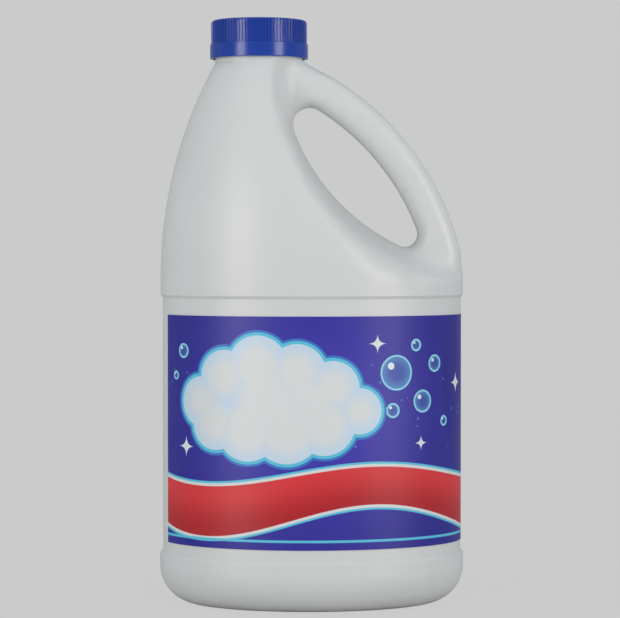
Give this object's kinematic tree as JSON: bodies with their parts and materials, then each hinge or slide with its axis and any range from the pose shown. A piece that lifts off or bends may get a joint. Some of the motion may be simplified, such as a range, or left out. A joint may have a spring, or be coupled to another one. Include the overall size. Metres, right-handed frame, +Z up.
{
  "type": "bleach bottle",
  "caption": "White blow-moulded jug with an oval body, a hollow side handle, a recessed printed label panel and a ribbed dark blue screw cap.",
  "frame": {"origin": "centre of the base, on the floor that the bottle stands on", "axes": "+Z up, +X towards the handle's side, and the printed front faces -Y"},
  "size_m": [0.15, 0.11, 0.2866],
  "materials": {
    "bottle": "satin blow-moulded polyethylene, opaque white",
    "cap": "semi-gloss moulded polypropylene, dark blue",
    "cap_liner": "matt foamed polyethylene, off-white",
    "label": "glossy printed film, blue-violet"
  },
  "bodies": {
    "bottle": {"bottle": "bottle", "label": "label"},
    "liner": {"cap_liner": "cap_liner"},
    "cap": {"cap": "cap"}
  },
  "joints": [
    {"name": "cap_lift", "type": "slide", "parent": "bottle", "child": "liner", "axis": [0, 0, 1], "range_m": [0, 0.006]},
    {"name": "cap_turn", "type": "hinge", "parent": "liner", "child": "cap", "pos_m": [-0.026, 0, 0.268], "axis": [0, 0, 1], "range_deg": [0, 540]}
  ],
  "couplings": [
    {"joint": "cap_lift", "follows": "cap_turn", "m_per_rad": 0.00063662}
  ]
}
